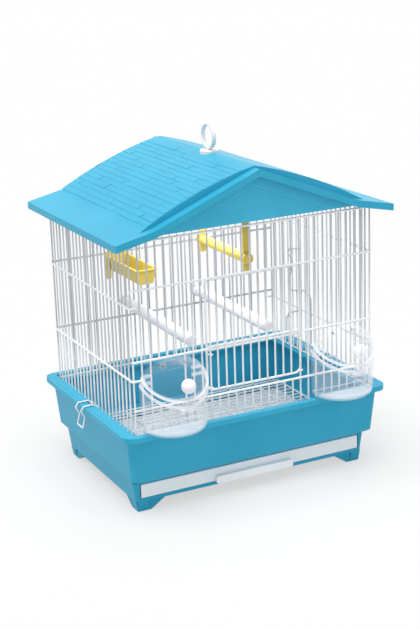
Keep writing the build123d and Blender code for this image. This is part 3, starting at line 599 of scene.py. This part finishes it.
def grilleWires():
    low, high = [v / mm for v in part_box("floor_grille")]
    r = grille["frameR"]
    halfX, halfY, z = high.x - r, high.y - r, low.z + r
    corner = [(-halfX, -halfY, z), (halfX, -halfY, z), (halfX, halfY, z), (-halfX, halfY, z)]
    parts = [bent(corner, r, grille["corner"], wireCoat, closed=True, sides=rodSides)]
    stepY = 2 * halfY / grille["rows"]
    parts.append(row((-halfX, -halfY + stepY, z + grille["longLift"]), (0, stepY, 0), grille["rows"] - 1,
                     (2 * halfX, 0, 0), grille["wireR"], wireCoat, thinSides))
    stepX = 2 * halfX / grille["columns"]
    parts.append(row((-halfX + stepX, -halfY, z + grille["crossLift"]), (stepX, 0, 0), grille["columns"] - 1,
                     (0, 2 * halfY, 0), grille["wireR"], wireCoat, thinSides))
    return joined("floorGrille", parts)


attach(grilleWires(), "cage", ["floor_grille"])

# clips and holder

clip = dict(wireR=0.9, eyeR=2.26, y=8.03, barX=152.5, edgeX=168.4, overZ=101.1, bend=1.2,
            shape=((0.6, 101.1), (4.0, 96.0), (-0.6, 88.0), (2.6, 75.5)))


def clipWires(name, side):
    # a spring wire bent over the rim of the tray, with an eye at each end round the sill bar
    y = clip["y"]
    leg = [(clip["barX"], cage["sillZ"] + clip["eyeR"]), (clip["barX"] + 2 * clip["eyeR"], clip["overZ"])]
    leg += [(clip["edgeX"] + x, z) for x, z in clip["shape"]]
    route = [(side * x, -y, z) for x, z in leg] + [(side * x, y, z) for x, z in reversed(leg)]
    parts = [bent(route, clip["wireR"], clip["bend"], wireCoat)]
    for end in (-1, 1):
        eye = [(side * clip["barX"] + u, end * y, cage["sillZ"] + v) for u, v in circleSteps(clip["eyeR"])]
        parts.append(bent(eye, clip["wireR"], noBend, wireCoat, closed=True, sides=thinSides))
    return joined(name, parts)


attach(clipWires("leftClip", -1), "clip_left", ["left_side_clip"])
attach(clipWires("rightClip", 1), "clip_right", ["right_side_clip"])

holder = dict(x=148.75, wireR=0.9, bend=3.0,
              route=((38, 232), (64, 226), (70.5, 219.5), (58.5, 214), (66, 178), (62, 172), (27, 180),
                     (14.5, 173), (14.5, 113), (74, 113), (74, 133), (66, 141.5), (39, 151.5)))
holderRoute = [(holder["x"], y, z) for y, z in holder["route"]]
# the holder wire takes the far coat's painted shade
holderWire = bent(holderRoute, holder["wireR"], holder["bend"], farShadedCoat)
attach(joined("greensHolder", [holderWire]), "cage", ["wire_holder"])
print("small wires made")


# moulded pieces: the CAD solids with their edges rounded

def coat(data, finish):
    # one finish on every face, shaded smooth
    data.materials.clear()
    data.materials.append(finish)
    data.polygons.foreach_set("material_index", [0] * len(data.polygons))
    data.shade_smooth()


rounding = dict(tray=1.4, roof=1.6, gable=0.4, drawer=0.7, trough=0.5, swing=0.5, hanger=0.5,
                angle=32, segments=2, merge=0.01, flatWithin=0.6, evenness=80)


def roundedPiece(name, node, body, finish, width, cleaned=False):
    # cleaned merges nearly flat faces first, and is left off where that would darken curved faces
    data = cadNodes[node].data.copy()
    data.name = name
    solid = bmesh.new()
    solid.from_mesh(data)
    bmesh.ops.remove_doubles(solid, verts=solid.verts, dist=rounding["merge"] * mm)
    if cleaned:
        bmesh.ops.dissolve_limit(solid, angle_limit=math.radians(rounding["flatWithin"]), verts=solid.verts,
                                 edges=solid.edges)
    solid.to_mesh(data)
    solid.free()
    coat(data, finish)
    piece = linked(name, data)
    bevel = piece.modifiers.new("edges", "BEVEL")
    bevel.width = width * mm
    bevel.segments = rounding["segments"]
    bevel.limit_method = "ANGLE"
    bevel.angle_limit = math.radians(rounding["angle"])
    bevel.use_clamp_overlap = True
    flat = piece.modifiers.new("normals", "WEIGHTED_NORMAL")
    flat.keep_sharp = True
    flat.weight = rounding["evenness"]
    done = baked(piece)
    piece.modifiers.clear()
    piece.data = done
    attach(piece, body, [node])


roundedPiece("trayBody", "base_tray", "cage", trayPlastic, rounding["tray"], True)
roundedPiece("roof", "roof_shell", "cage", bluePlastic, rounding["roof"], True)
roundedPiece("frontGable", "front_gable", "cage", gablePlastic, rounding["gable"])
roundedPiece("backGable", "back_gable", "cage", gablePlastic, rounding["gable"])
roundedPiece("pullDrawer", "drawer", "drawer", drawerPlastic, rounding["drawer"], True)
roundedPiece("trough", "trough_feeder", "trough", yellowPlastic, rounding["trough"])
roundedPiece("swingFrame", "swing_frame", "swing", yellowPlastic, rounding["swing"])
roundedPiece("frontHanger", "swing_hanger_front", "cage", whitePlastic, rounding["hanger"])
roundedPiece("backHanger", "swing_hanger_back", "cage", whitePlastic, rounding["hanger"])
print("moulded pieces made")


# shingled left slope

shingles = dict(rows=16, columns=3, ridgeZ=378.5, endX=138.0, endZ=323.52, rise=6.0, top=10.0, to=129.0,
                front=-117.0, back=121.0, wall=0.42, sink=0.30, nose=((0.0, 0.55), (0.25, 0.9), (0.7, 1.0)),
                tail=0.04, lap=0.5, joint=0.35, seed=7, loose=0.10)


def archThrough(a, b, c):
    # centre and radius of the circle through three points of the XZ plane
    d = 2 * (a[0] * (b[1] - c[1]) + b[0] * (c[1] - a[1]) + c[0] * (a[1] - b[1]))
    sa, sb, sc = (p[0] ** 2 + p[1] ** 2 for p in (a, b, c))
    x = (sa * (b[1] - c[1]) + sb * (c[1] - a[1]) + sc * (a[1] - b[1])) / d
    z = (sa * (c[0] - b[0]) + sb * (a[0] - c[0]) + sc * (b[0] - a[0])) / d
    return x, z, math.hypot(x - a[0], z - a[1])


def shingleBoard(pitch, length):
    # a wedge with a rounded thick edge downhill, sunk a little into the roof
    wall, low = shingles["wall"] * mm, -shingles["sink"] * mm
    edge, half = pitch * mm / 2, length / 2 * mm
    nose = [(-edge + inward * mm, wall * share) for inward, share in shingles["nose"]]
    section = [(-edge, low), *nose, (edge, shingles["tail"] * mm), (edge, low)]
    verts = [(x, y, z) for y in (-half, half) for x, z in section]
    count = len(section)
    faces = [list(range(count)), list(range(2 * count - 1, count - 1, -1))]
    faces += [[(i + 1) % count, i, count + i, count + (i + 1) % count] for i in range(count)]
    mesh = bpy.data.meshes.new("board")
    mesh.from_pydata(verts, [], faces)
    return mesh


def shingledSlope():
    eave = (-shingles["endX"], shingles["endZ"])
    ridge = (0.0, shingles["ridgeZ"])
    middle = (eave[0] / 2, (eave[1] + ridge[1]) / 2 + shingles["rise"])
    x, z, radius = archThrough(eave, middle, ridge)
    first = math.asin((-shingles["to"] - x) / radius)
    last = math.asin((-shingles["top"] - x) / radius)
    turn = (last - first) / shingles["rows"]
    length = (shingles["back"] - shingles["front"]) / shingles["columns"]
    board = shingleBoard(turn * radius + shingles["lap"], length - shingles["joint"])
    values = dict(Rows=shingles["rows"], Columns=shingles["columns"] + 2, Centre=(x * mm, 0, z * mm),
                  Arch=radius * mm, First=first + turn / 2, Turn=turn,
                  Left=(shingles["front"] - length / 2) * mm, Length=length * mm,
                  Loose=shingles["loose"] * mm, Seed=shingles["seed"], Finish=bluePlastic)
    mesh = runTree(shingleTree, values, board)
    # boards past the front and back of the roof are cut off there
    trimmed = bmesh.new()
    trimmed.from_mesh(mesh)
    for y, side in ((shingles["front"], -1), (shingles["back"], 1)):
        parts = trimmed.verts[:] + trimmed.edges[:] + trimmed.faces[:]
        cut = bmesh.ops.bisect_plane(trimmed, geom=parts, plane_co=(0, y * mm, 0), plane_no=(0, side, 0),
                                     clear_outer=True)
        edges = [e for e in cut["geom_cut"] if isinstance(e, bmesh.types.BMEdge)]
        bmesh.ops.holes_fill(trimmed, edges=edges)
    bmesh.ops.recalc_face_normals(trimmed, faces=trimmed.faces)
    trimmed.to_mesh(mesh)
    trimmed.free()
    piece = joined("leftShingles", [mesh])
    piece.data.shade_flat()
    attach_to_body(piece, "cage")


shingledSlope()
print("shingles laid")


# pieces that only need their finish: smooth copies of the CAD solids

sharpFrom = 35


def smoothPiece(name, node, body, finish, slot):
    data = cadNodes[node].data.copy()
    data.name = name
    coat(data, finish)
    data.set_sharp_from_angle(angle=math.radians(sharpFrom))
    attach(linked(name, data), body, [node])


smoothPieces = [("swingBar", "swing_bar", "swing", yellowPlastic, "yellow_plastic"),
                ("ringBase", "ring_base", "cage", whitePlastic, "white_plastic"),
                ("ring", "hanging_ring", "ring", whitePlastic, "white_plastic"),
                ("ringStop", "ring_retainer", "ring", whitePlastic, "white_plastic"),
                ("leftKnob", "left_hood_knob", "hood_left", whitePlastic, "white_plastic"),
                ("rightKnob", "right_hood_knob", "hood_right", frostedPlastic, "frosted_plastic")]
for side in ("left", "right"):
    smoothPieces.append((side + "Perch", side + "_perch", "cage", whitePlastic, "white_plastic"))
    smoothPieces.append((side + "PerchNut", side + "_perch_nut", "cage", whitePlastic, "white_plastic"))
    smoothPieces.append((side + "Cup", side + "_cup", "cup_" + side, clearShell, "clear_plastic"))
    smoothPieces.append((side + "Hood", side + "_hood", "hood_" + side, clearShell, "clear_plastic"))
for entry in smoothPieces:
    smoothPiece(*entry)
print("smooth pieces made")


# camera, lights and floor

view = dict(place=(-705.7, -1393.1, 663.0), yaw=24.5, pitch=15.5, roll=-2.5, focal=1380.2,
            centre=(152.9, 276.8), width=420, height=630, sensor=36)


def makeCamera():
    yaw, pitch, roll = (math.radians(view[k]) for k in ("yaw", "pitch", "roll"))
    forward = Vector((math.sin(yaw) * math.cos(pitch), math.cos(yaw) * math.cos(pitch), -math.sin(pitch)))
    right = Vector((math.cos(yaw), -math.sin(yaw), 0))
    up = right.cross(forward)
    acrossAxis = right * math.cos(roll) + up * math.sin(roll)
    upAxis = up * math.cos(roll) - right * math.sin(roll)
    data = bpy.data.cameras.new("photoCamera")
    data.sensor_fit = "VERTICAL"
    data.sensor_height = view["sensor"]
    data.lens = view["sensor"] * view["focal"] / view["height"]
    data.shift_x = (view["width"] / 2 - view["centre"][0]) / view["height"]
    data.shift_y = (view["centre"][1] - view["height"] / 2) / view["height"]
    camera = linked("photoCamera", data)
    turn = Matrix((acrossAxis, upAxis, -forward)).transposed().to_4x4()
    camera.matrix_world = Matrix.Translation(Vector(view["place"]) * mm) @ turn
    bpy.context.scene.camera = camera


light = dict(sky=0.80, backdrop=1.0, sun=2.5, sunSize=35.0, sunFrom=(-0.15, -0.10, 1.0), fill=0.46,
             fillSize=(0.24, 0.17), fillZ=0.305)


def makeLight():
    # a white backdrop that lights less than it shows, a soft sun, and a lamp that fills the roof space
    world = bpy.data.worlds.new("studio")
    bpy.context.scene.world = world
    world.use_nodes = True
    world.node_tree.nodes.clear()
    graph = Graph(world.node_tree)
    soft = graph.add("ShaderNodeBackground", Color=(1, 1, 1, 1), Strength=light["sky"])
    white = graph.add("ShaderNodeBackground", Color=(1, 1, 1, 1), Strength=light["backdrop"])
    mixed = graph.blend(graph.seen(), soft.outputs[0], white.outputs[0])
    graph.feed(graph.add("ShaderNodeOutputWorld").inputs[0], mixed)
    lamp = bpy.data.lights.new("softTop", "SUN")
    lamp.energy = light["sun"]
    lamp.angle = math.radians(light["sunSize"])
    sun = linked("softTop", lamp)
    sun.rotation_euler = Vector(light["sunFrom"]).to_track_quat("Z", "Y").to_euler()
    under = bpy.data.lights.new("underRoof", "AREA")
    under.shape = "RECTANGLE"
    under.size, under.size_y = light["fillSize"]
    under.energy = light["fill"]
    fill = linked("underRoof", under)
    fill.location = (0, 0, light["fillZ"])
    fill.visible_camera = False


ground = dict(half=12.0, colour=0.62, shade=0.25, glow=0.60)


def makeFloor():
    # seen by the camera it is nearly white with a light shadow, and to the object it is a pale floor
    material, graph, place, finish = newShader("paleFloor")
    lit = graph.add("ShaderNodeBsdfDiffuse", Color=(*[ground["colour"]] * 3, 1))
    shaded = graph.add("ShaderNodeBsdfDiffuse", Color=(*[ground["shade"]] * 3, 1))
    glow = graph.add("ShaderNodeEmission", Color=(1, 1, 1, 1), Strength=ground["glow"])
    both = graph.add("ShaderNodeAddShader")
    graph.feed(both.inputs[0], shaded.outputs[0])
    graph.feed(both.inputs[1], glow.outputs[0])
    graph.feed(finish.inputs[0], graph.blend(graph.seen(), lit.outputs[0], both.outputs[0]))
    data = bpy.data.meshes.new("floor")
    r = ground["half"]
    data.from_pydata([(-r, -r, 0), (r, -r, 0), (r, r, 0), (-r, r, 0)], [], [(0, 1, 2, 3)])
    data.materials.append(material)
    floor = linked("floor", data)


makeCamera()
makeLight()
makeFloor()
bpy.context.scene.view_settings.view_transform = "Standard"
print("camera and light made")
